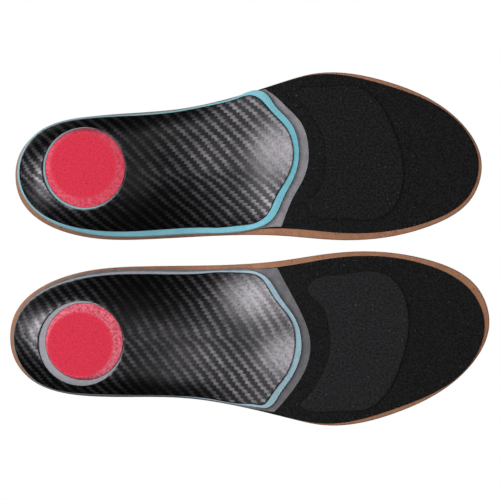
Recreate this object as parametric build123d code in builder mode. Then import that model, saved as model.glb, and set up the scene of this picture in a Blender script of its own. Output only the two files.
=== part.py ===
from build123d import *
import math
import os

os.makedirs("parts", exist_ok=True)

# A pair of full length moulded insoles, sole side down.
# +X heel to toe, +Y towards the wearer's left, +Z up, millimetres.
# Every outline is drawn for one insole: x from the heel end, y from the inner to the outer side.

# Sheet thicknesses, from the floor upwards
SHELL = 1.4
TEAL = 1.5
GREY = 1.8
BASE = 1.2
CUSHION = 3.4
PAD = 1.0
STACK = SHELL + TEAL + GREY
# Foam ground off the pads so that they stand flat, and the step from arch to ball of the foot
GROUND_OFF = 0.15
DISC_PROUD = 0.7
DROP = STACK - PAD + GROUND_OFF

# Outer edge of the cushion layer: heel end, inner side, toe, outer side
OUTLINE = [
    (0, 1.5), (6.5, -18), (40, -34.5), (76, -36), (120, -33.8), (154.5, -34), (188, -36.5), (241, -28),
    (263.5, -13), (269.5, 9.5), (258, 31), (214.5, 55), (171, 59), (158, 55.5), (95, 39.5), (45, 35.5), (10.5, 24),
]
# How far the black base layer stays inside each of those points
BASE_INSET = {
    "right": [1.6, 3.0, 2.0, 2.2, 2.0, 4.3, 4.2, 2.7, 2.4, 2.0, 1.2, 2.3, 0.6, 0.3, 0.7, 0.5, 0.4],
    "left": [2.5, 2.6, 2.0, 2.2, 2.7, 3.3, 2.7, 3.2, 4.3, 3.0, 1.0, 2.5, 0.9, 0.4, 0.6, 0.9, 1.3],
}

# Rear edge shared by the shell and the two foam layers on it, inner waist round the heel to outer waist
REAR = [
    (115, -34), (76, -36), (40, -34.5), (6.5, -18), (0, 1.5), (10.5, 24), (45, 35.5), (95, 39.5), (112, 42.5),
    (128, 46.5),
]
GREY_INSET = {
    "right": [1.1, 1.2, 1.7, 2.7, 1.3, 0.2, 0.2, 0.5, 0.4, 0.3],
    "left": [2.3, 1.4, 1.2, 2.3, 2.3, 1.1, 0.7, 0.4, 0.4, 0.3],
}
TEAL_INSET = {
    "right": [1.5, 1.7, 2.2, 3.0, 1.7, 0.4, 0.4, 0.7, 0.6, 0.6],
    "left": [3.2, 2.7, 2.6, 2.9, 2.8, 1.5, 1.2, 1.0, 0.9, 1.2],
}
SHELL_INSET = {
    "right": [4.7, 5.0, 4.5, 4.1, 3.1, 1.3, 1.4, 1.8, 1.6, 1.7],
    "left": [4.1, 4.2, 3.5, 3.1, 3.0, 1.8, 1.6, 1.4, 1.5, 2.1],
}
# Front edges, outer corner over the tongue to the inner corner. Grey ends there in two sharp corners.
GREY_FRONT = {
    "right": [
        (145.1, 50.4), (152.6, 44.8), (158.3, 39.2), (163.8, 33.6), (167.3, 28), (169.8, 18), (169.6, 7),
        (166.4, -2.5), (161.6, -11), (157.6, -20), (154.5, -28.7),
    ],
    "left": [
        (146.1, 50.2), (151.6, 45), (158.2, 37.6), (164.3, 29), (167.7, 20.8), (168.8, 12), (167, 2),
        (162.4, -9.8), (156.8, -22), (153.2, -30.2),
    ],
}
GREY_INNER = {"right": [(143, -29.6), (130, -32.2)], "left": [(143, -30.3), (130, -31.4)]}
TEAL_FRONT = {
    "right": [
        (142, 49.6), (144.8, 48.4), (150.8, 40.6), (156.8, 34.4), (161.4, 28), (164.2, 18), (164, 8),
        (160.8, -2), (156, -11.1), (152.4, -19.4), (147.4, -26), (140, -29.6), (128, -31.8),
    ],
    "left": [
        (138, 47.2), (142, 47.6), (151, 38.8), (156.6, 32), (161, 24.4), (163.4, 17), (163.8, 9), (161, -1.9),
        (155.7, -10.3), (150.2, -20.2), (147.1, -24.9), (142.6, -28.2), (130, -30.2),
    ],
}
SHELL_FRONT = {
    "right": [
        (137.4, 46.8), (140.8, 45.4), (145.6, 40.8), (151.2, 34.6), (155.6, 30), (159.2, 24), (161.2, 15),
        (160.6, 7), (157, -1.8), (150.8, -12.4), (146.6, -21), (141.4, -25.6), (128, -28.3),
    ],
    "left": [
        (134.4, 45), (139.4, 45.8), (145, 40.7), (149.6, 35.2), (153.9, 30.2), (157.4, 24.1), (159.9, 16),
        (160.6, 8.9), (158, -2.1), (152.8, -9.6), (147.8, -18.1), (142.4, -26.2), (132, -28.9),
    ],
}

# Crescent under the ball of the foot
CRESCENT = [
    (160.5, 48), (165, 51), (180, 52.3), (199, 52), (209, 45), (218, 30), (224, 12), (224.5, -5),
    (216.5, -21), (205, -25.5), (187, -24.5), (172, -22), (168.8, -16), (174, -9.5), (179.5, 8),
    (178, 22), (172, 33.5), (163, 44),
]

# Heel window in the shell and the foam disc in it
WINDOW = (40.8, 4.8)
WINDOW_R = 23.8
DISC_R = {"right": 22.8, "left": 21.5}
DISC_CENTRE = {"right": (41.6, 5.2), "left": (42.8, 3.9)}
DISC_FIT = 0.12

# Walls under the heel cup and the arch: x along the insole, rim height, width of the curve
INNER_WALL = [
    (0, 12, 18), (35, 13, 19), (70, 13.5, 34), (105, 15, 54), (130, 10.5, 54), (152, 3.5, 45), (178, 0, 40),
]
OUTER_WALL = [(0, 12, 18), (35, 11, 18), (62, 8.5, 17), (95, 4.5, 16), (128, 1.6, 15), (160, 0, 15)]
WALL_CURVE = 2.2
# Gentle hump of the whole sole between heel and ball: height, where it starts, full height, and run to the front
HUMP = 2.5
HUMP_START = 56
HUMP_RISE = 54
HUMP_FALL = 44
# Run of the step from the shell's front edge down to the ball
STEP_RUN = 22

# Size of each insole as a share of the drawing
SIZE = {"right": 0.985, "left": 1.013}
# Where each insole lies: heel end and the turn of its toe, degrees
PLACE = {"right": (-133.49, -40.93, 0.0), "left": (-136.56, 51.41, -3.76)}

with BuildLine() as rim_line:
    Spline(*OUTLINE, periodic=True)
RIM = [rim_line.line @ (i / 400) for i in range(400)]
RIM_TANGENT = [rim_line.line % (i / 400) for i in range(400)]


def ease(t):
    """Smooth step from 0 to 1."""
    t = min(max(t, 0.0), 1.0)
    return t * t * (3 - 2 * t)


def along(wall, x):
    """Rim height and curve width of a wall at x."""
    if x <= wall[0][0]:
        return wall[0][1:]
    for (x0, h0, w0), (x1, h1, w1) in zip(wall, wall[1:]):
        if x <= x1:
            t = ease((x - x0) / (x1 - x0))
            return h0 + (h1 - h0) * t, w0 + (w1 - w0) * t
    return wall[-1][1:]


def inside(x, y):
    """Distance from the outer edge, positive inside the outline."""
    near = min(range(400), key=lambda i: (RIM[i].X - x) ** 2 + (RIM[i].Y - y) ** 2)
    gap = math.hypot(RIM[near].X - x, RIM[near].Y - y)
    side = RIM_TANGENT[near].X * (y - RIM[near].Y) - RIM_TANGENT[near].Y * (x - RIM[near].X)
    return gap if side > 0 else -gap


def wall_rise(wall, x, depth):
    """Height of one wall curve above the flat sole."""
    height, width = along(wall, x)
    reach = 1 - depth / width
    if reach <= 0:
        return 0.0
    if reach > 1:
        return height * (1 + WALL_CURVE * min(reach - 1, 8 / width))
    return height * reach ** WALL_CURVE


def hump(x, past_front):
    """Lift between heel and ball, steepest at the shell's front edge."""
    rise = math.sin(math.pi / 2 * min(max((x - HUMP_START) / HUMP_RISE, 0), 1))
    fall = min(max(1 + past_front / HUMP_FALL, 0), 1)
    return HUMP * rise * (1 - fall * fall)


def step_down(past_front):
    """Drop past the shell's front edge, starting at the hump's slope and ending level."""
    t = min(max(past_front / STEP_RUN, 0), 1)
    start_slope = -2 * HUMP / HUMP_FALL * STEP_RUN
    return start_slope * t * (1 - t) ** 2 - DROP * t * t * (3 - 2 * t)


def sole_height(x, y):
    """Underside of the carbon shell, carried on past its front edge down to the ball of the foot."""
    depth = inside(x, y)
    outer = ease((y + 4) / 36)
    rise = wall_rise(INNER_WALL, x, depth) * (1 - outer) + wall_rise(OUTER_WALL, x, depth) * outer
    past_front = x - 161 + min(0.0155 * (y - 13) ** 2, 22)
    return rise + hump(x, past_front) + step_down(past_front)


def sole_surface():
    """The moulded underside as one smooth surface, also a little way outside the outline."""
    rows = []
    for j in range(24):
        y = 67 - 5 * j
        rows.append([Vector(x, y, sole_height(x, y)) for x in range(-12, 285, 9)])
    return Face.make_surface_from_array_of_points(rows, tol=0.2)


SOLE = sole_surface()


def moved_in(points, insets):
    """Outline points moved inwards, each by its own inset."""
    moved = []
    for (x, y), inset in zip(points, insets):
        near = min(range(400), key=lambda i: (RIM[i].X - x) ** 2 + (RIM[i].Y - y) ** 2)
        moved.append((x - RIM_TANGENT[near].Y * inset, y + RIM_TANGENT[near].X * inset))
    return moved


def sheet(edges, bottom, thickness):
    """One moulded sheet, cut upright through a slab that follows the sole.

    Its edges are one closed curve, or curves that meet in corners.
    """
    with BuildPart() as piece:
        with BuildSketch(Plane.XY.offset(-20)):
            with BuildLine():
                for points in edges:
                    Spline(*points, periodic=len(edges) == 1)
            make_face()
        extrude(amount=80)
        add(Solid.extrude(SOLE.moved(Pos(0, 0, bottom)), Vector(0, 0, thickness)), mode=Mode.INTERSECT)
    return piece


def carbon_shell(side):
    """Heel cup and arch of carbon cloth with the round heel window."""
    blank = sheet([moved_in(REAR, SHELL_INSET[side]) + SHELL_FRONT[side]], 0, SHELL)
    with BuildPart() as piece:
        add(blank.part)
        with Locations((WINDOW[0], WINDOW[1], 0)):
            Cylinder(WINDOW_R, 60, mode=Mode.SUBTRACT)
    return piece


def teal_layer(side):
    """Foam sheet on the shell, cut out where the heel disc sits."""
    blank = sheet([moved_in(REAR, TEAL_INSET[side]) + TEAL_FRONT[side]], SHELL, TEAL)
    x, y = DISC_CENTRE[side]
    with BuildPart() as piece:
        add(blank.part)
        with Locations((x, y, 0)):
            Cylinder(DISC_R[side] + DISC_FIT, 60, mode=Mode.SUBTRACT)
    return piece


def stood_flat(piece):
    """The piece with everything below the floor ground away."""
    with BuildPart() as ground:
        add(piece.part)
        with Locations((135, 10, -10)):
            Box(400, 200, 20, mode=Mode.SUBTRACT)
    return ground


def heel_pad(side):
    """Foam disc in the window, its rim ground to a cone and its face flat."""
    x, y = DISC_CENTRE[side]
    with BuildPart() as piece:
        with Locations((x, y, -1)):
            Cylinder(DISC_R[side], 20, align=(Align.CENTER, Align.CENTER, Align.MIN))
        chamfer(piece.edges().sort_by(Axis.Z)[0], length=1.8, length2=4.2)
        slab = Solid.extrude(SOLE.moved(Pos(0, 0, -DISC_PROUD)), Vector(0, 0, DISC_PROUD + SHELL + TEAL))
        add(slab, mode=Mode.INTERSECT)
    return stood_flat(piece)


def grey_layer(side):
    """Felted foam between the teal sheet and the base layer."""
    front = GREY_FRONT[side]
    rear = front[-1:] + GREY_INNER[side] + moved_in(REAR, GREY_INSET[side]) + front[:1]
    return sheet([rear, front], SHELL + TEAL, GREY)


def base_layer(side):
    """Full length black microfibre sheet."""
    return sheet([moved_in(OUTLINE, BASE_INSET[side])], STACK, BASE)


def cushion_layer(side):
    """Full length foam on the foot side."""
    return sheet([OUTLINE], STACK + BASE, CUSHION)


def forefoot_pad(side):
    """Crescent bonded under the base layer."""
    return stood_flat(sheet([CRESCENT], STACK - PAD, PAD))


def placed(piece, side):
    """The left insole as drawn, the right one mirrored, each at its size and laid in its place."""
    x, y, turn = PLACE[side]
    body = scale(piece.part, by=SIZE[side])
    if side == "right":
        body = mirror(body, about=Plane.XZ)
    return Pos(x, y, 0) * Rot(0, 0, turn) * body


PIECES = {
    "carbon_shell": carbon_shell,
    "teal_layer": teal_layer,
    "grey_layer": grey_layer,
    "base_layer": base_layer,
    "cushion_layer": cushion_layer,
    "forefoot_pad": forefoot_pad,
    "heel_pad": heel_pad,
}

for side in ("right", "left"):
    for plain_name, make in PIECES.items():
        body = placed(make(side), side)
        with BuildPart() as part:
            add(body)
        part.part.label = side + "_" + plain_name
        export_step(part.part, "parts/" + part.part.label + ".step")
        print(part.part.label, len(part.part.solids()), round(part.part.volume), part.part.bounding_box())
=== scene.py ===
# %% [markdown]
# # A pair of moulded insoles, seen from the sole side
# Each insole is a stack of sheets: a carbon fibre shell under heel and arch, two foam sheets on it, a
# black microfibre sheet and a brown foam sheet over the full length, a red foam disc in the shell's heel
# window and a crescent pad under the ball of the foot. The engineering model fixes where every sheet is.
# Here each sheet gets its own finely cut mesh, with ground edges, and a material built from nodes.

import math

import bmesh
import bpy
import numpy as np
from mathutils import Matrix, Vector
from mathutils.bvhtree import BVHTree
from mathutils.geometry import delaunay_2d_cdt
from mathutils.kdtree import KDTree


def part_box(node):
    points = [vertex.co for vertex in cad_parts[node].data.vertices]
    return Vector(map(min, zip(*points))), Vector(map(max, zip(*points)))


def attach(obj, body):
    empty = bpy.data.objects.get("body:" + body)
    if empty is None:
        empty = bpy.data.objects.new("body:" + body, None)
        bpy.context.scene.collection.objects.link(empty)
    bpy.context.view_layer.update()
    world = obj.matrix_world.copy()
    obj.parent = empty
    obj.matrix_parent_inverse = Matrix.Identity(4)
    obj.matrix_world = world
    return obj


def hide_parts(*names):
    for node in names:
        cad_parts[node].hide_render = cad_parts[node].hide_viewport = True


MM = 0.001
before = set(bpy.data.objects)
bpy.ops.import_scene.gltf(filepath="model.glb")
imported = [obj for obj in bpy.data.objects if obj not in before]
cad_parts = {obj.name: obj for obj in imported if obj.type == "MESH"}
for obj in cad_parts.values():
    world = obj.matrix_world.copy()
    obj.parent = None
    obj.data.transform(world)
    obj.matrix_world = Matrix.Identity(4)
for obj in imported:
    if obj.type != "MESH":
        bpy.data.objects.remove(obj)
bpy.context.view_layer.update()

# %% [markdown]
# ## The moulded surface
# Every sheet follows one curved surface, the underside of the full length cushion. We could copy the flat
# facets of the engineering mesh, but a glossy shell shows each facet. So the surface is measured with rays
# on a 3 mm grid and read back through a cubic B-spline, which is smooth in slope and in curvature.

# %% Measure the underside of a cushion layer
GRID = 3 * MM
MARGIN = 4 * GRID
NEIGHBOURS = 16


def measured_heights(tree, xs, ys):
    """Height of the first surface met by a ray from below, nan where there is none."""
    heights = np.full((len(xs), len(ys)), np.nan)
    for i, x in enumerate(xs):
        for j, y in enumerate(ys):
            hit = tree.ray_cast(Vector((x, y, -1)), Vector((0, 0, 1)))[0]
            if hit:
                heights[i, j] = hit.z
    return heights


def carried_outwards(heights, xs, ys):
    """Cells outside the outline filled from a plane through the nearest measured cells."""
    known = np.argwhere(~np.isnan(heights))
    tree = KDTree(len(known))
    for k, (i, j) in enumerate(known):
        tree.insert((xs[i], ys[j], 0), k)
    tree.balance()
    filled = heights.copy()
    for i, j in np.argwhere(np.isnan(heights)):
        near = known[[k for _, k, _ in tree.find_n((xs[i], ys[j], 0), NEIGHBOURS)]]
        rows = np.c_[xs[near[:, 0]], ys[near[:, 1]], np.ones(NEIGHBOURS)]
        plane = np.linalg.lstsq(rows, heights[near[:, 0], near[:, 1]], rcond=None)[0]
        filled[i, j] = plane @ (xs[i], ys[j], 1)
    return filled


def cushion_underside(side):
    """Grid of heights, and of lengths measured along the curved surface, for one insole."""
    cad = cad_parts[side + "_cushion_layer"].data
    tree = BVHTree.FromPolygons([v.co for v in cad.vertices], [p.vertices for p in cad.polygons])
    low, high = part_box(side + "_cushion_layer")
    xs = np.arange(low[0] - MARGIN, high[0] + MARGIN, GRID)
    ys = np.arange(low[1] - MARGIN, high[1] + MARGIN, GRID)
    z = carried_outwards(measured_heights(tree, xs, ys), xs, ys)
    along = np.zeros_like(z)
    along[1:] = np.cumsum(np.hypot(GRID, np.diff(z, axis=0)), axis=0)
    across = np.zeros_like(z)
    across[:, 1:] = np.cumsum(np.hypot(GRID, np.diff(z, axis=1)), axis=1)
    middle = len(ys) // 2
    across -= across[:, middle : middle + 1]
    return {"corner": (xs[0], ys[0]), "z": z, "along": along, "across": across}


# The two feet differ, so each insole is the same drawing at its own size
SIZE = {"right": 0.985, "left": 1.013}
SOLE = {side: cushion_underside(side) for side in SIZE}
for side in SOLE:
    print(side, "sole grid", SOLE[side]["z"].shape, "highest", round(SOLE[side]["z"].max() / MM, 1), "mm")

# %% Read the grid back smoothly


def spline_weights(t):
    """The four weights of a uniform cubic B-spline."""
    return np.array([(1 - t) ** 3, 3 * t**3 - 6 * t**2 + 4, -3 * t**3 + 3 * t**2 + 3 * t + 1, t**3]) / 6


def read_grid(side, field, points):
    """The named field of an insole's grid at each (x, y)."""
    values = SOLE[side][field]
    where = (points - np.array(SOLE[side]["corner"])) / GRID
    cell = np.clip(np.floor(where).astype(int), 1, np.array(values.shape) - 3)
    wx = spline_weights(where[:, 0] - cell[:, 0])
    wy = spline_weights(where[:, 1] - cell[:, 1])
    total = np.zeros(len(points))
    for a in range(4):
        for b in range(4):
            total += wx[a] * wy[b] * values[cell[:, 0] + a - 1, cell[:, 1] + b - 1]
    return total


# %% [markdown]
# ## Outlines
# The edge of a sheet comes from its engineering solid: the faces that look down are kept, and the border
# of what is left is the outline, with one more loop where there is a hole.

# %% Take the outline of a node
EDGE_STEP = 1.3 * MM


def border_loops(node):
    """Each border of the downward faces as an ordered list of (x, y), longest first."""
    solid = bmesh.new()
    solid.from_mesh(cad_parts[node].data)
    bmesh.ops.remove_doubles(solid, verts=solid.verts, dist=0.004 * MM)
    up = [f for f in solid.faces if f.normal.z > -0.2]
    bmesh.ops.delete(solid, geom=up, context="FACES")
    links = {}
    for edge in solid.edges:
        if len(edge.link_faces) == 1:
            a, b = edge.verts
            links.setdefault(a.index, []).append(b.index)
            links.setdefault(b.index, []).append(a.index)
    solid.verts.ensure_lookup_table()
    loops = []
    while links:
        start = here = next(iter(links))
        loop = []
        while here in links:
            loop.append(solid.verts[here].co.xy[:])
            onward = [n for n in links.pop(here) if n in links]
            if not onward:
                break
            here = onward[0]
        if len(loop) > 20:
            loops.append(np.array(loop))
    solid.free()
    return sorted(loops, key=lambda p: -length_round(p))


def length_round(loop):
    return np.hypot(*np.diff(np.vstack([loop, loop[:1]]), axis=0).T).sum()


def evenly_spaced(loop, step=EDGE_STEP):
    """The loop cut into equal steps."""
    closed = np.vstack([loop, loop[:1]])
    walked = np.r_[0, np.cumsum(np.hypot(*np.diff(closed, axis=0).T))]
    stops = np.linspace(0, walked[-1], max(24, round(walked[-1] / step)), endpoint=False)
    return np.c_[np.interp(stops, walked, closed[:, 0]), np.interp(stops, walked, closed[:, 1])]


def turned(loop, hole=False):
    """Outlines run anticlockwise and holes clockwise, so that the sheet is always on the left."""
    x, y = loop.T
    area = (x * np.roll(y, -1) - y * np.roll(x, -1)).sum()
    return loop if (area > 0) != hole else loop[::-1]


def outline(node):
    loops = border_loops(node)
    return [turned(evenly_spaced(loop), hole=k > 0) for k, loop in enumerate(loops)]


print("shell loops", [len(loop) for loop in outline("right_carbon_shell")])

# %% [markdown]
# ## Cutting a sheet
# A sheet is triangulated in plan: its outline, a few finer rows beside the edge, and an even grid in the
# middle. The same triangles make its lower and its upper face. How far a point is from the edge decides how
# much the sheet has been rounded or ground away there, so one function makes a soft foam edge and another a
# long bevel.

# %% Distances and triangles in plan
EDGE_ROWS = [0.2 * MM, 0.5 * MM, 0.9 * MM, 1.5 * MM, 2.3 * MM]
INNER_STEP = 2.2 * MM
PART = 2000  # points worked on at a time, to keep memory small


def from_edge(points, loops):
    """Distance of each point from the nearest edge of the loops."""
    best = np.full(len(points), 1.0)
    for loop in loops:
        ahead = np.roll(loop, -1, axis=0) - loop
        square = (ahead**2).sum(1)
        for start in range(0, len(points), PART):
            part = points[start : start + PART]
            offset = part[:, None] - loop[None]
            t = np.clip((offset * ahead).sum(2) / square, 0, 1)
            gap = offset - t[..., None] * ahead
            near = np.sqrt((gap**2).sum(2).min(1))
            best[start : start + PART] = np.minimum(best[start : start + PART], near)
    return best


def within(points, loops):
    """True for the points inside the outline and outside its holes."""
    count = np.zeros(len(points), dtype=int)
    x, y = points.T
    for loop in loops:
        for (x0, y0), (x1, y1) in zip(loop, np.roll(loop, -1, axis=0)):
            crosses = (y0 > y) != (y1 > y)
            if crosses.any():
                count += crosses & (x < (x1 - x0) * (y - y0) / (y1 - y0 + 1e-15) + x0)
    return count % 2 == 1


def left_of(loop):
    """Unit vectors from each loop point into the sheet."""
    ahead = np.roll(loop, -1, axis=0) - np.roll(loop, 1, axis=0)
    ahead /= np.hypot(*ahead.T)[:, None]
    return np.c_[-ahead[:, 1], ahead[:, 0]]


def plan_triangles(loops, rows=EDGE_ROWS, step=INNER_STEP):
    """Points, triangles and edge distance of a sheet in plan. The loops' own points come first."""
    points = [np.vstack(loops)]
    for row in rows:
        for loop in loops:
            moved = loop + left_of(loop) * row
            near = from_edge(moved, loops)
            points.append(moved[(near > 0.93 * row) & within(moved, loops)])
    low, high = loops[0].min(0), loops[0].max(0)
    count = np.ceil((high - low) / (step, step * 0.866)).astype(int) + 1
    i, j = np.meshgrid(np.arange(count[0]), np.arange(count[1]), indexing="ij")
    middle = np.c_[(low[0] + (i + 0.5 * (j % 2)) * step).ravel(), (low[1] + j * step * 0.866).ravel()]
    middle = middle[within(middle, loops)]
    points.append(middle[from_edge(middle, loops) > rows[-1] + 0.55 * step])
    points = np.vstack(points)
    edges, first = [], 0
    for loop in loops:
        edges += [(first + k, first + (k + 1) % len(loop)) for k in range(len(loop))]
        first += len(loop)
    cut = delaunay_2d_cdt([Vector(p) for p in points], edges, [], 0, 1e-9)
    points = np.array([v[:] for v in cut[0]])
    corners = np.array(cut[2])
    corners = corners[within(points[corners].mean(1), loops)]
    return points, corners, from_edge(points, loops)


# %% Turn a plan into a closed sheet
SHARP = math.radians(50)  # a bend past this angle stays a crisp edge


def closed_sheet(name, points, corners, under, over, loops):
    """A mesh with a lower face, the same face above it, and walls along each loop."""
    count = len(points)
    vertices = np.vstack([np.c_[points, under], np.c_[points, over]])
    faces = [tuple(c[::-1]) for c in corners.tolist()]
    faces += [tuple(c + count for c in corner) for corner in corners.tolist()]
    first = 0
    for loop in loops:
        for k in range(len(loop)):
            a, b = first + k, first + (k + 1) % len(loop)
            faces.append((a, b, b + count, a + count))
        first += len(loop)
    mesh = bpy.data.meshes.new(name)
    mesh.from_pydata(vertices.tolist(), [], faces)
    mesh.validate()
    mesh.update()
    made = bpy.data.objects.new(name, mesh)
    bpy.context.collection.objects.link(made)
    mesh.shade_smooth()
    mesh.set_sharp_from_angle(angle=SHARP)
    return made


def write_field(mesh, name, values):
    """One number per vertex that a material can read by name."""
    field = mesh.attributes.new(name, "FLOAT", "POINT")
    field.data.foreach_set("value", np.asarray(values, dtype=np.float32))


def rounded(distance, radius):
    """How far a rounded edge stands back at a distance from it."""
    t = np.clip(1 - distance / radius, 0, 1)
    return radius * (1 - np.sqrt(1 - t**2))


# %% [markdown]
# ## Placing a piece
# A finished piece takes the place of its engineering node, which is hidden, rides on the same body, and
# gets its finish as a new material.

# %% Put a piece in the frame


def fit(piece, side, plain_name, finish):
    piece.data.materials.append(finish)
    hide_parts(side + "_" + plain_name)
    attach(piece, side + "_insole")
    print(piece.name, len(piece.data.polygons), "faces")
    return piece


# %% [markdown]
# ## Node helpers
# A finish is a small graph of nodes. One function adds any node, with its settings and with its sockets set
# or linked, and one turns the hex colours that people read into the linear values that light needs.

# %% Colours and nodes


def linear(hex_code):
    """sRGB hex to linear red, green, blue, alpha."""
    parts = [int(hex_code[k : k + 2], 16) / 255 for k in (1, 3, 5)]
    return tuple(c / 12.92 if c <= 0.04045 else ((c + 0.055) / 1.055) ** 2.4 for c in parts) + (1.0,)


def add(tree, kind, sockets={}, **settings):
    """A new node. A socket takes a plain value or another node's output."""
    node = tree.nodes.new(kind)
    for key, value in settings.items():
        setattr(node, key, value)
    for key, value in sockets.items():
        if isinstance(value, bpy.types.NodeSocket):
            tree.links.new(value, node.inputs[key])
        else:
            node.inputs[key].default_value = value
    return node


def maths(tree, operation, *values):
    """The result of a Math node."""
    return add(tree, "ShaderNodeMath", dict(enumerate(values)), operation=operation).outputs[0]


def vector_maths(tree, operation, sockets):
    """The result of a Vector Math node."""
    return add(tree, "ShaderNodeVectorMath", sockets, operation=operation).outputs[0]


def mixed(tree, amount, first, second):
    """Two colours mixed by an amount."""
    node = add(tree, "ShaderNodeMix", {0: amount, 6: first, 7: second}, data_type="RGBA")
    return node.outputs[2]


def noise(tree, size, detail=2.0, roughness=0.5, vector=None):
    """Noise whose blotches are about size across, in metres."""
    place = vector or add(tree, "ShaderNodeTexCoord").outputs["Object"]
    node = add(tree, "ShaderNodeTexNoise", {"Vector": place, "Scale": 1 / size, "Detail": detail})
    node.inputs["Roughness"].default_value = roughness
    return node.outputs["Fac"]


def ramp(tree, value, low, high):
    """value stretched so that low becomes 0 and high becomes 1."""
    node = add(tree, "ShaderNodeMapRange", {"Value": value, "From Min": low, "From Max": high})
    return node.outputs["Result"]


def new_finish(name):
    """An empty material with its shader."""
    finish = bpy.data.materials.new(name)
    finish.use_nodes = True
    tree = finish.node_tree
    return finish, tree, tree.nodes["Principled BSDF"]


def feed(tree, shader, **sockets):
    """Links or sets sockets of the shader by name, with _ for a space."""
    for key, value in sockets.items():
        socket = shader.inputs[key.replace("_", " ")]
        if isinstance(value, bpy.types.NodeSocket):
            tree.links.new(value, socket)
        else:
            socket.default_value = value


# %% [markdown]
# ## Carbon fibre
# The shell is 2x2 twill: each flat tow of 3000 filaments passes over two tows and under two, one step
# further in each row, and that draws the slanted ribs. Tows that run along the insole and tows that run
# across it catch the light at different angles, and clear resin lies over both. Carbon conducts, so its
# fibres shine like a dark metal, and the metallic value is high. Where the resin is sanded the shine turns
# rough, and there a pale cloud is painted on as a painted highlight. Other places are painted dark as shade,
# so that the ribs hardly show there. An image of cloth would be quicker, but it
# wouldn't follow the curved shell, so the weave is counted out from tow to tow.

# %% Twill carbon finish
TOW = 1.78 * MM


def field(tree, name):
    """A number that write_field put on the mesh."""
    return add(tree, "ShaderNodeAttribute", attribute_name=name).outputs["Fac"]


def laid_cloth(tree):
    """Place on the cloth in metres, shaken by a quarter millimetre, as tows never lie quite straight."""
    cloth = add(tree, "ShaderNodeAttribute", attribute_name="cloth").outputs["Vector"]
    wander = add(tree, "ShaderNodeTexNoise", {"Vector": cloth, "Scale": 1 / (9 * MM)}).outputs["Color"]
    shaken = vector_maths(tree, "SUBTRACT", {0: wander, 1: (0.5, 0.5, 0.5)})
    shaken = vector_maths(tree, "SCALE", {0: shaken, "Scale": 0.5 * MM})
    return vector_maths(tree, "ADD", {0: cloth, 1: shaken})


def twill(tree, laid):
    """For a place on the cloth: is the top tow a lengthwise one, its height across, and its height along."""
    counted = vector_maths(tree, "SCALE", {0: laid, "Scale": 1 / TOW})
    split = add(tree, "ShaderNodeSeparateXYZ", {0: counted})
    u, v = split.outputs[0], split.outputs[1]
    column, row = maths(tree, "FLOOR", u), maths(tree, "FLOOR", v)
    step = maths(tree, "FLOORED_MODULO", maths(tree, "SUBTRACT", column, row), 4.0)
    lengthwise = maths(tree, "LESS_THAN", step, 1.5)
    side_u, side_v = maths(tree, "FRACT", u), maths(tree, "FRACT", v)
    across = add(tree, "ShaderNodeMix", {0: lengthwise, 2: side_u, 3: side_v}).outputs[0]
    float_u = maths(tree, "FLOORED_MODULO", maths(tree, "SUBTRACT", u, row), 4.0)
    float_v = maths(tree, "SUBTRACT", maths(tree, "ADD", v, 3.0), column)
    float_v = maths(tree, "FLOORED_MODULO", float_v, 4.0)
    along = add(tree, "ShaderNodeMix", {0: lengthwise, 2: float_v, 3: float_u}).outputs[0]
    crown = maths(tree, "SINE", maths(tree, "MULTIPLY", across, math.pi))
    arch = maths(tree, "SINE", maths(tree, "MULTIPLY", along, math.pi / 2))
    arch = maths(tree, "POWER", maths(tree, "ABSOLUTE", arch), 0.6)
    return lengthwise, crown, arch


# %% Twill carbon material


def carbon_twill():
    finish, tree, shader = new_finish("carbon_twill_in_clear_resin")
    laid = laid_cloth(tree)
    lengthwise, crown, arch = twill(tree, laid)
    # Filaments of 7 micrometres are drawn as a grain of half a millimetre, which still shows
    height = maths(tree, "ADD", maths(tree, "MULTIPLY", crown, 0.4), maths(tree, "MULTIPLY", arch, 0.6))
    grain = noise(tree, 0.5 * MM, 3.0, 0.7, laid)
    mottle = noise(tree, 5 * MM, 3.0, 0.6, laid)
    height = maths(tree, "ADD", height, maths(tree, "MULTIPLY", grain, 0.35))
    # Sanded places: rougher, with a weaker weave bump, and also painted as a pale cloud, a painted highlight
    sanded_and_highlight = field(tree, "sanded_and_highlight")
    strength = maths(tree, "SUBTRACT", 0.6, maths(tree, "MULTIPLY", sanded_and_highlight, 0.5))
    bump = add(tree, "ShaderNodeBump", {"Height": height, "Strength": strength, "Distance": 0.08 * MM})
    dark = mixed(tree, grain, linear("#060607"), linear("#111012"))
    light = mixed(tree, ramp(tree, grain, 0.3, 0.7), linear("#434145"), linear("#706D71"))
    light = mixed(tree, ramp(tree, mottle, 0.35, 0.7), linear("#333135"), light)
    tows = mixed(tree, maths(tree, "MULTIPLY", lengthwise, arch), dark, light)
    # Painted shade: in its spots the tows turn almost black, so the ribs hardly show
    tows = mixed(tree, field(tree, "painted_shade"), tows, linear("#0B0B0C"))
    # Painted highlight: a pale, less metallic cloud over the sanded places
    cloud = noise(tree, 1.6 * MM, 4.0, 0.7, laid)
    cloudy = maths(tree, "MULTIPLY", sanded_and_highlight, ramp(tree, cloud, 0.2, 0.6))
    colour = mixed(tree, cloudy, tows, linear("#858186"))
    rough = maths(tree, "ADD", 0.36, maths(tree, "MULTIPLY", mottle, 0.14))
    rough = maths(tree, "ADD", rough, maths(tree, "MULTIPLY", sanded_and_highlight, 0.12))
    bare = maths(tree, "SUBTRACT", 0.9, maths(tree, "MULTIPLY", cloudy, 0.6))
    feed(tree, shader, Base_Color=colour, Metallic=bare, Roughness=rough)
    feed(tree, shader, Normal=bump.outputs[0], IOR=1.55)
    feed(tree, shader, Coat_Weight=0.12, Coat_Roughness=0.35, Coat_IOR=1.5)
    return finish


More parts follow.
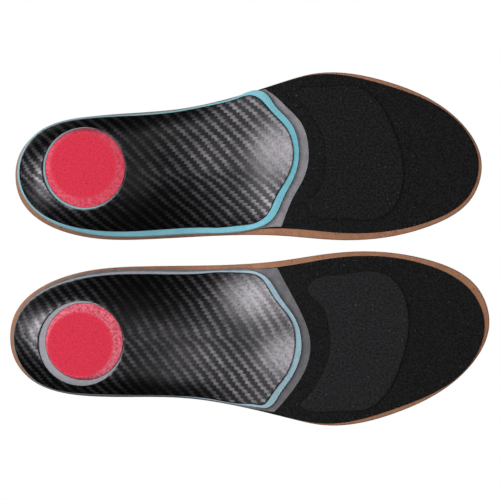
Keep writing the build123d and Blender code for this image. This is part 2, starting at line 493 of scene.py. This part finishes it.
def sanded_edge():
    """Where the shell is cut its filaments and resin are sanded to a dull black."""
    finish, tree, shader = new_finish("sanded_carbon_edge")
    colour = mixed(tree, noise(tree, 0.6 * MM, 3.0), linear("#0D0D0E"), linear("#232224"))
    feed(tree, shader, Base_Color=colour, Roughness=0.8, Specular_IOR_Level=0.2)
    return finish


CARBON = carbon_twill()
SANDED = sanded_edge()
print("finishes", CARBON.name, SANDED.name, "tow width in mm", TOW / MM)

# %% [markdown]
# ## Foams and felt
# Sheet foam is matt, because each of its closed cells of a few tenths of a millimetre throws light its own
# way. Where it is ground on a belt the cells are torn open, so the edge is rougher and a little lighter. The
# cells are drawn at 0.5 or 0.6 mm, somewhat coarse, so that they still show.

# %% Foam finishes


def foam(name, base, pale, dark, cell, pits=0.5, specks=0.0, shade_and_dust="#808080"):
    """Matt foam: blotches of two colours, torn cells, dark specks, and a colour of painted shade and dust
    where told by field.
    """
    finish, tree, shader = new_finish(name)
    cells = add(tree, "ShaderNodeTexVoronoi", {"Scale": 1 / cell})
    tree.links.new(add(tree, "ShaderNodeTexCoord").outputs["Object"], cells.inputs["Vector"])
    blotch = noise(tree, 4 * MM, 3.0)
    fine = noise(tree, 0.7 * MM, 4.0, 0.75)
    colour = mixed(tree, ramp(tree, blotch, 0.3, 0.7), linear(base), linear(pale))
    colour = mixed(tree, maths(tree, "MULTIPLY", ramp(tree, fine, 0.42, 0.72), pits), colour, linear(dark))
    dots = ramp(tree, noise(tree, 1.3 * MM, 1.0), 0.70, 0.75)
    colour = mixed(tree, maths(tree, "MULTIPLY", dots, specks), colour, linear(dark))
    patchy = ramp(tree, noise(tree, 1.8 * MM, 4.0, 0.7), 0.1, 0.5)
    # Painted shade and dust, where the mesh's field is set
    shade_and_dust_mask = maths(tree, "MULTIPLY", field(tree, "shade_and_dust"), patchy)
    colour = mixed(tree, shade_and_dust_mask, colour, linear(shade_and_dust))
    height = maths(tree, "ADD", maths(tree, "MULTIPLY", cells.outputs["Distance"], 0.6), fine)
    bump = add(tree, "ShaderNodeBump", {"Height": height, "Strength": 0.6, "Distance": 0.12 * MM})
    feed(tree, shader, Base_Color=colour, Roughness=0.85, Normal=bump.outputs[0], IOR=1.45)
    feed(tree, shader, Specular_IOR_Level=0.12, Sheen_Weight=0.05)
    return finish


# The last colour of each teal foam is painted shade and dust in the heel window, and greys the teal round the
# heel
TEAL_FOAM = {
    "right": foam("teal_sheet_foam", "#6CAFBE", "#79B9C8", "#478794", 0.5 * MM, 0.35, shade_and_dust="#7F979D"),
    "left": foam("dusty_teal_foam", "#86A9B8", "#A3B8C4", "#5F8895", 0.5 * MM, 0.35, shade_and_dust="#8C898F"),
}
BROWN_FOAM = foam("brown_ground_foam", "#8A614A", "#986D55", "#573827", 0.6 * MM, 0.45, 0.9)
# The last colour of each grey foam is painted shade beside the teal edge
GREY_FELT = {
    "right": foam("grey_felted_foam", "#77757A", "#8B888D", "#4A484C", 0.5 * MM, 0.6, shade_and_dust="#39383A"),
    "left": foam("dark_grey_felt", "#5C5B5E", "#6E6C70", "#3B3A3C", 0.5 * MM, 0.5, shade_and_dust="#343335"),
}
print("foams", [f.name for f in (*TEAL_FOAM.values(), BROWN_FOAM, *GREY_FELT.values())])

# %% Red foam disc finish


def red_foam():
    """Soft red foam: open cells on the face, a torn paler rim where the belt has cut it."""
    finish, tree, shader = new_finish("red_open_cell_foam")
    torn = field(tree, "torn")
    fine = noise(tree, 1.1 * MM, 3.0, 0.8)
    coarse = noise(tree, 1.4 * MM, 3.0, 0.7)
    pores = ramp(tree, noise(tree, 1.3 * MM, 1.0), 0.67, 0.73)
    face = mixed(tree, ramp(tree, fine, 0.35, 0.7), linear("#B02437"), linear("#CC344A"))
    face = mixed(tree, maths(tree, "MULTIPLY", pores, 0.7), face, linear("#7E1826"))
    rim = mixed(tree, ramp(tree, coarse, 0.35, 0.65), linear("#A93043"), linear("#D4707F"))
    colour = mixed(tree, torn, face, rim)
    depth = maths(tree, "ADD", fine, maths(tree, "MULTIPLY", torn, coarse))
    bump = add(tree, "ShaderNodeBump", {"Height": depth, "Strength": 0.6, "Distance": 0.25 * MM})
    feed(tree, shader, Base_Color=colour, Roughness=0.8, Normal=bump.outputs[0], IOR=1.45)
    feed(tree, shader, Specular_IOR_Level=0.1)
    return finish


RED_FOAM = red_foam()
print("disc foam", RED_FOAM.name)

# %% [markdown]
# ## Black microfibre
# Split microfibre has a nap far finer than a millimetre. It drinks light, shows a faint sheen at grazing
# angles, and always carries a few pale specks of lint. Its nap is drawn as a grain of about a millimetre,
# because the true one is too fine to show.

# %% Microfibre finish


def microfibre(name, dark, pale, nap):
    finish, tree, shader = new_finish(name)
    fine = noise(tree, nap, 3.0, 0.8)
    blotch = noise(tree, 7 * MM, 3.0, 0.6)
    lint = ramp(tree, noise(tree, 1.2 * MM, 1.0), 0.76, 0.80)
    colour = mixed(tree, ramp(tree, fine, 0.35, 0.7), linear(dark), linear(pale))
    colour = mixed(tree, maths(tree, "MULTIPLY", blotch, 0.35), colour, linear(dark))
    colour = mixed(tree, maths(tree, "MULTIPLY", lint, 0.6), colour, linear("#6D6B6E"))
    # Painted shade: the colour goes almost black along the pad's skived lip
    colour = mixed(tree, field(tree, "lip"), colour, linear("#020202"))
    bump = add(tree, "ShaderNodeBump", {"Height": fine, "Strength": 0.7, "Distance": 0.3 * MM})
    feed(tree, shader, Base_Color=colour, Roughness=0.95, Normal=bump.outputs[0], IOR=1.45)
    feed(tree, shader, Specular_IOR_Level=0.06, Sheen_Weight=0.03, Sheen_Roughness=0.5)
    return finish


BLACK_NAP = microfibre("black_microfibre", "#070708", "#242425", 1.1 * MM)
PAD_NAP = {
    "right": microfibre("creased_black_microfibre", "#060607", "#2A2A2B", 1.2 * MM),
    "left": microfibre("rubbed_black_microfibre", "#101011", "#303032", 1.2 * MM),
}

print("microfibres", BLACK_NAP.name, [nap.name for nap in PAD_NAP.values()])

# %% [markdown]
# ## Full length sheets
# The brown cushion is soft foam, cut a little proud all round and ground, so its edge is rounded. The black
# sheet under it is thin and stays a few millimetres inside that edge.

# %% Build the cushion and the black sheet
CUSHION = 3.4 * MM
BASE = 1.2 * MM


def cushion_layer(side):
    loops = outline(side + "_cushion_layer")
    points, corners, edge = plan_triangles(loops)
    low = read_grid(side, "z", points)
    under = low + rounded(edge, 1.0 * MM)
    over = low + CUSHION * SIZE[side] - rounded(edge, 1.6 * MM)
    piece = closed_sheet(side + "_cushion", points, corners, under, over, loops)
    fit(piece, side, "cushion_layer", BROWN_FOAM)


def base_layer(side):
    loops = outline(side + "_base_layer")
    points, corners, edge = plan_triangles(loops)
    top = read_grid(side, "z", points)
    under = top - BASE * SIZE[side] + rounded(edge, 0.5 * MM)
    piece = closed_sheet(side + "_base", points, corners, under, top, loops)
    fit(piece, side, "base_layer", BLACK_NAP)


for side in SOLE:
    cushion_layer(side)
    base_layer(side)

# %% [markdown]
# ## Grey and teal foam
# The grey felted foam and the teal foam are ground together at the front, down to nothing, so that the foot
# does not feel a step. In plan that bevel is about 7 mm of grey and 3 mm of teal. Round the heel they end
# almost upright.

# %% Build the ground foams
GREY = 1.8 * MM
TEAL = 1.5 * MM
GREY_GRIND = 6.5 * MM
TEAL_GRIND = 3.0 * MM


def front_share(side, points):
    """1 along the ground front edge, 0 round the rear."""
    low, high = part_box(side + "_grey_layer")
    start = low[0] + 0.80 * (high[0] - low[0])
    t = np.clip((points[:, 0] - start) / (14 * MM), 0, 1)
    return t * t * (3 - 2 * t)


def bevel(side, points, edge, run, thickness):
    """Lift of the lower face: a straight grind at the front, a rounded edge elsewhere."""
    share = front_share(side, points)
    ground = thickness * np.clip(1 - edge / run, 0, 0.97)
    return share * ground + (1 - share) * rounded(edge, 0.4 * MM)


def ground_foam(side, plain_name, thickness, above, run, finish):
    loops = outline(side + "_" + plain_name)
    rows = EDGE_ROWS + [3.2 * MM, 4.4 * MM, 5.8 * MM, 7.2 * MM]
    points, corners, edge = plan_triangles(loops, rows)
    thickness *= SIZE[side]
    top = read_grid(side, "z", points) - above * SIZE[side]
    under = top - thickness + bevel(side, points, edge, run, thickness)
    name = side + "_" + plain_name.replace("_layer", "_foam")
    piece = closed_sheet(name, points, corners, under, top, loops)
    fit(piece, side, plain_name, finish)
    return piece, points


def teal_step_shade(side, points):
    """1 where the grey foam meets the teal edge, painted darker there as shade of the step, fading outwards.
    """
    teal = outline(side + "_teal_layer")[:1]
    beyond = np.where(within(points, teal), 0, from_edge(points, teal))
    return np.exp(-((beyond / STEP_SHADE_WIDTH) ** 2)) * front_share(side, points)


def window_ring(side, points):
    """1 on the teal foam that shows in the heel window, greyed there as painted shade of the recess and by
    grinding dust.
    """
    low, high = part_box(side + "_heel_pad")
    gap = np.hypot(points[:, 0] - (low[0] + high[0]) / 2, points[:, 1] - (low[1] + high[1]) / 2)
    return np.clip((WINDOW_REACH - gap) / (1 * MM), 0, 1)


def rear_greying(side, points):
    """Greyer teal edge round the heel, on the right insole's outer and the left one's inner side."""
    low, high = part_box(side + "_teal_layer")
    forward = (points[:, 0] - low[0]) / (high[0] - low[0])
    towards = (high[1] - points[:, 1]) / (high[1] - low[1])
    return np.clip(1.9 - 1.9 * forward, 0, 1) * np.clip(0.3 + 1.2 * towards, 0, 0.9)


# Width of the painted shade on the grey foam beside the teal edge
STEP_SHADE_WIDTH = 1.5 * MM
WINDOW_REACH = 28 * MM
for side in SOLE:
    piece, points = ground_foam(side, "grey_layer", GREY, BASE, GREY_GRIND, GREY_FELT[side])
    # Painted shade: the grey foam darkens beside the teal edge
    write_field(piece.data, "shade_and_dust", np.tile(teal_step_shade(side, points), 2))
    above = BASE + GREY
    piece, points = ground_foam(side, "teal_layer", TEAL, above, TEAL_GRIND, TEAL_FOAM[side])
    # Painted shade and dust in the heel window's ring, and the greyer teal round the heel
    dull = np.maximum(window_ring(side, points), rear_greying(side, points))
    write_field(piece.data, "shade_and_dust", np.tile(dull, 2))

# %% [markdown]
# ## Carbon shell
# The shell is pressed over the foot's mould, then its edge is sanded. The cloth lies along the curved
# surface, so its pattern is laid out by lengths measured on that surface and not in plan.

# %% Build the shells
SHELL = 1.4 * MM
SANDED_EDGE = 0.35 * MM
CLOTH_TURN = {"right": math.radians(-1.5), "left": math.radians(8.5)}
# Soft spots in millimetres on each insole: x from the heel end, y from the inner to the outer side, then
# radius and amount. The first table gives sanded places, also painted paler as a painted highlight; the
# second gives places of painted shade, where the ribs hardly show.
SANDED_HIGHLIGHT_SPOTS = {
    "right": [((154, 15), 12, 1.0), ((14, -14), 8, 0.25)],
    "left": [
        ((155, 18), 10, 1.0), ((134, -17), 11, 0.7), ((153, -6), 6, 0.2), ((92, 8), 16, 0.15),
        ((16, -8), 9, 0.3),
    ],
}
PAINTED_SHADE_SPOTS = {
    "right": [
        ((72, -22), 24, 0.8), ((72, 24), 18, 0.8), ((68, 0), 10, 0.45), ((138, 2), 13, 0.65),
        ((98, 38), 14, 0.4),
    ],
    "left": [
        ((74, -22), 24, 0.8), ((76, 32), 18, 0.8), ((68, -8), 9, 0.35), ((132, 4), 16, 0.6),
        ((98, 36), 12, 0.3),
    ],
}
# Where each insole lies: its heel end in millimetres, its turn, and -1 where it is mirrored
LAID = {"right": (-133.49, -40.93, 0.0, -1), "left": (-136.56, 51.41, math.radians(-3.76), 1)}


def spots(side, points, places):
    """A soft round spot at each place, added up to 1 at most."""
    x0, y0, turn, mirrored = LAID[side]
    x, y = points[:, 0] / MM - x0, points[:, 1] / MM - y0
    x, y = x * math.cos(turn) + y * math.sin(turn), y * math.cos(turn) - x * math.sin(turn)
    x, y = x / SIZE[side], mirrored * y / SIZE[side]
    total = np.zeros(len(points))
    for (u, v), radius, amount in places:
        total += amount * np.exp(-(((x - u) ** 2 + (y - v) ** 2) / radius**2))
    return np.clip(total, 0, 1)


def carbon_shell(side):
    loops = outline(side + "_carbon_shell")
    points, corners, edge = plan_triangles(loops, step=1.8 * MM)
    top = read_grid(side, "z", points) - (BASE + GREY + TEAL) * SIZE[side]
    under = top - SHELL * SIZE[side] + rounded(edge, 0.45 * MM)
    over = top - rounded(edge, 0.3 * MM)
    piece = closed_sheet(side + "_shell", points, corners, under, over, loops)
    u, v = read_grid(side, "along", points), read_grid(side, "across", points)
    turn = CLOTH_TURN[side]
    lengthwise, crosswise = u * math.cos(turn) + v * math.sin(turn), v * math.cos(turn) - u * math.sin(turn)
    cloth = np.c_[lengthwise, crosswise, 0 * u]
    draped = piece.data.attributes.new("cloth", "FLOAT_VECTOR", "POINT")
    draped.data.foreach_set("vector", np.tile(cloth, (2, 1)).astype(np.float32).ravel())
    # Sanded spots, also painted paler as a highlight
    write_field(piece.data, "sanded_and_highlight", np.tile(spots(side, points, SANDED_HIGHLIGHT_SPOTS[side]), 2))
    # Spots of painted shade on the shell
    write_field(piece.data, "painted_shade", np.tile(spots(side, points, PAINTED_SHADE_SPOTS[side]), 2))
    fit(piece, side, "carbon_shell", CARBON)
    piece.data.materials.append(SANDED)
    near = np.tile(edge < SANDED_EDGE, 2)
    for face in piece.data.polygons:
        if near[list(face.vertices)].all():
            face.material_index = 1


for side in SOLE:
    carbon_shell(side)

# %% [markdown]
# ## Heel disc
# The disc is punched from soft foam, pressed into the window and ground: a flat face in the middle, and a
# slanted torn rim that is wider on one side, because nobody grinds it quite centrally. So its mesh is made
# of rings whose centre wanders from the middle of the face to the middle of the disc.

# %% Build the heel discs
FACE_R = 18.6 * MM
FACE_SHIFT = {"right": (-1.0 * MM, -1.4 * MM), "left": (-2.4 * MM, 1.7 * MM)}
RIM_TORN = {"right": 0.45, "left": 1.0}
RIM_EDGE = 1.1 * MM  # least height of the rim's outer edge
RIM_PROUD = 0.5 * MM  # how far it stays above the shell's underside
AROUND = 180
FACE_RINGS = np.linspace(0.04, 1, 16)
RIM_RINGS = np.linspace(0.12, 1, 9)


def disc_points(side):
    """Rings of points from the middle of the ground face out to the disc's edge."""
    low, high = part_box(side + "_heel_pad")
    centre = np.array([(low[0] + high[0]) / 2, (low[1] + high[1]) / 2])
    face_centre = centre + FACE_SHIFT[side]
    outer_r = (high[0] - low[0]) / 2
    angle = np.arange(AROUND) / AROUND * 2 * math.pi
    ray = np.c_[np.cos(angle), np.sin(angle)]
    inner, outer = face_centre + ray * FACE_R, centre + ray * outer_r
    rings = [face_centre + ray * FACE_R * t for t in FACE_RINGS]
    rings += [inner + (outer - inner) * t for t in RIM_RINGS]
    return np.vstack(rings)


def per_point(face, rim):
    """One value for each point, from values for the rings of the face and of the rim."""
    return np.repeat([*face, *rim], AROUND)


def disc_faces():
    """Lower and upper rings of faces, walls round the edge, and a cap in each middle."""
    faces = []
    for k in range(len(FACE_RINGS) + len(RIM_RINGS) - 1):
        for a in range(AROUND):
            b = (a + 1) % AROUND
            faces.append((k * AROUND + a, k * AROUND + b, (k + 1) * AROUND + b, (k + 1) * AROUND + a))
    last = (len(FACE_RINGS) + len(RIM_RINGS) - 1) * AROUND
    count = last + AROUND
    upper = [tuple(c + count for c in f[::-1]) for f in faces]
    walls = [(last + a, last + (a + 1) % AROUND) for a in range(AROUND)]
    walls = [(b, a, a + count, b + count) for a, b in walls]
    lower_cap = tuple(range(AROUND))
    upper_cap = tuple(count + a for a in range(AROUND))[::-1]
    return faces + upper + walls + [lower_cap, upper_cap]


def made_outward(mesh):
    """Turns every face of a closed mesh to look outwards."""
    clean = bmesh.new()
    clean.from_mesh(mesh)
    bmesh.ops.recalc_face_normals(clean, faces=clean.faces)
    clean.to_mesh(mesh)
    clean.free()


# %% Put the discs in the windows


def heel_disc(side):
    points = disc_points(side)
    share = per_point([0.0] * len(FACE_RINGS), RIM_RINGS)
    shell_under = read_grid(side, "z", points) - (BASE + GREY + TEAL + SHELL) * SIZE[side]
    under = np.maximum(share * RIM_EDGE, shell_under * share + share * RIM_PROUD)
    over = read_grid(side, "z", points) - (BASE + GREY) * SIZE[side]
    mesh = bpy.data.meshes.new(side + "_disc")
    vertices = np.vstack([np.c_[points, under], np.c_[points, over]]).tolist()
    mesh.from_pydata(vertices, [], disc_faces())
    mesh.validate()
    disc = bpy.data.objects.new(side + "_disc", mesh)
    bpy.context.collection.objects.link(disc)
    made_outward(mesh)
    mesh.shade_smooth()
    mesh.set_sharp_from_angle(angle=SHARP)
    torn = per_point([0.0] * (len(FACE_RINGS) - 1) + [0.35], [1.0] * len(RIM_RINGS))
    write_field(mesh, "torn", RIM_TORN[side] * np.tile(torn, 2))
    fit(disc, side, "heel_pad", RED_FOAM)


for side in SOLE:
    heel_disc(side)

# %% [markdown]
# ## Crescent pad
# A second piece of the microfibre is bonded under the ball of the foot. Its edge is skived thin, so it shows
# as a soft lip, and the fold beside the lip is in shade.

# %% Build the crescent pads
PAD = 1.0 * MM


def crescent(side):
    loops = outline(side + "_forefoot_pad")
    points, corners, edge = plan_triangles(loops)
    top = read_grid(side, "z", points) - BASE * SIZE[side]
    low = np.maximum(top - PAD * SIZE[side], 0)
    skive = np.clip(1 - edge / (1.3 * MM), 0, 1) ** 2
    under = low + (top - low) * 0.8 * skive
    piece = closed_sheet(side + "_crescent", points, corners, under, top, loops)
    # Painted shade along the skived edge, read by the microfibre finish
    write_field(piece.data, "lip", np.tile(0.8 * np.exp(-((edge / (0.6 * MM)) ** 2)), 2))
    fit(piece, side, "forefoot_pad", PAD_NAP[side])


for side in SOLE:
    crescent(side)

# %% [markdown]
# ## Floor, light and camera
# The insoles lie sole down, and the camera looks at them straight from below. So the floor is drawn on its
# upper side only: from below it is not there, and it throws no shadow on the soles.

# %% Floor


def pale_floor():
    finish, tree, shader = new_finish("pale_matt_floor")
    tint = mixed(tree, noise(tree, 0.3, 3.0), linear("#E4E4E2"), linear("#EDEDEB"))
    feed(tree, shader, Base_Color=tint, Roughness=0.9)
    clear = add(tree, "ShaderNodeBsdfTransparent")
    back = add(tree, "ShaderNodeNewGeometry").outputs["Backfacing"]
    one_sided = add(tree, "ShaderNodeMixShader", {0: back, 1: shader.outputs[0], 2: clear.outputs[0]})
    tree.links.new(one_sided.outputs[0], tree.nodes["Material Output"].inputs["Surface"])
    mesh = bpy.data.meshes.new("floor")
    half = 1.5
    corners = [(-half, -half, -0.0003), (half, -half, -0.0003), (half, half, -0.0003), (-half, half, -0.0003)]
    mesh.from_pydata(corners, [], [(0, 1, 2, 3)])
    floor = bpy.data.objects.new("floor", mesh)
    bpy.context.collection.objects.link(floor)
    mesh.materials.append(finish)
    floor.visible_shadow = False
    floor.visible_diffuse = False
    floor.visible_glossy = False


pale_floor()

# %% [markdown]
# ## Light
# The soles are lit from the heel end, by a large softbox that leans that way, because the shell's cloth and
# its cloudy places only show in a slanting light. Two fills keep the edges from going black, and two lamps
# above serve the foot side. The sky is a faint glow for light and plain white for the eye.

# %% Lights


def soft_light(name, place, size, power):
    """A rectangular white softbox that looks at the origin."""
    lamp = bpy.data.lights.new(name, "AREA")
    lamp.shape = "RECTANGLE"
    lamp.size, lamp.size_y = size
    lamp.energy = power
    holder = bpy.data.objects.new(name, lamp)
    holder.location = place
    holder.rotation_mode = "QUATERNION"
    holder.rotation_quaternion = (-Vector(place)).to_track_quat("-Z", "Y")
    bpy.context.collection.objects.link(holder)
    print("light", name, power, "W")


soft_light("heel_side_softbox", (-0.66, -0.05, -1.24), (0.60, 0.80), 26)
soft_light("heel_end_fill", (-1.4, -0.2, -0.35), (0.5, 0.5), 5)
soft_light("toe_end_fill", (1.4, -0.2, -0.35), (0.5, 0.5), 5)
soft_light("key_above", (-0.7, -0.8, 1.3), (0.8, 0.8), 22)
soft_light("fill_above", (0.9, 0.5, 1.2), (1.0, 1.0), 12)

world = bpy.data.worlds.new("studio")
world.use_nodes = True
bpy.context.scene.world = world
sky = world.node_tree
seen = add(sky, "ShaderNodeLightPath").outputs["Is Camera Ray"]
glow = add(sky, "ShaderNodeBackground", {"Color": linear("#FFFFFF"), "Strength": 0.07})
backdrop = add(sky, "ShaderNodeBackground", {"Color": linear("#FFFFFF"), "Strength": 1.0})
choose = add(sky, "ShaderNodeMixShader", {0: seen, 1: glow.outputs[0], 2: backdrop.outputs[0]})
sky.links.new(choose.outputs[0], sky.nodes["World Output"].inputs["Surface"])

# %% [markdown]
# ## Camera
# A long lens far below gives almost no perspective. It looks straight up, with the heels on the left.

# %% Camera
VIEW_WIDTH = 283.6 * MM
LENS, SENSOR = 200, 36
AIM = (0.8 * MM, 0.6 * MM, 4 * MM)
camera = bpy.data.objects.new("camera", bpy.data.cameras.new("camera"))
camera.data.lens, camera.data.sensor_width = LENS, SENSOR
camera.location = (AIM[0], AIM[1], AIM[2] - VIEW_WIDTH * LENS / SENSOR)
camera.rotation_euler = (math.pi, 0, 0)
print("view", VIEW_WIDTH / MM, "mm wide from", round(-camera.location.z, 2), "m below")
bpy.context.collection.objects.link(camera)
bpy.context.scene.camera = camera
bpy.context.scene.view_settings.view_transform = "Standard"
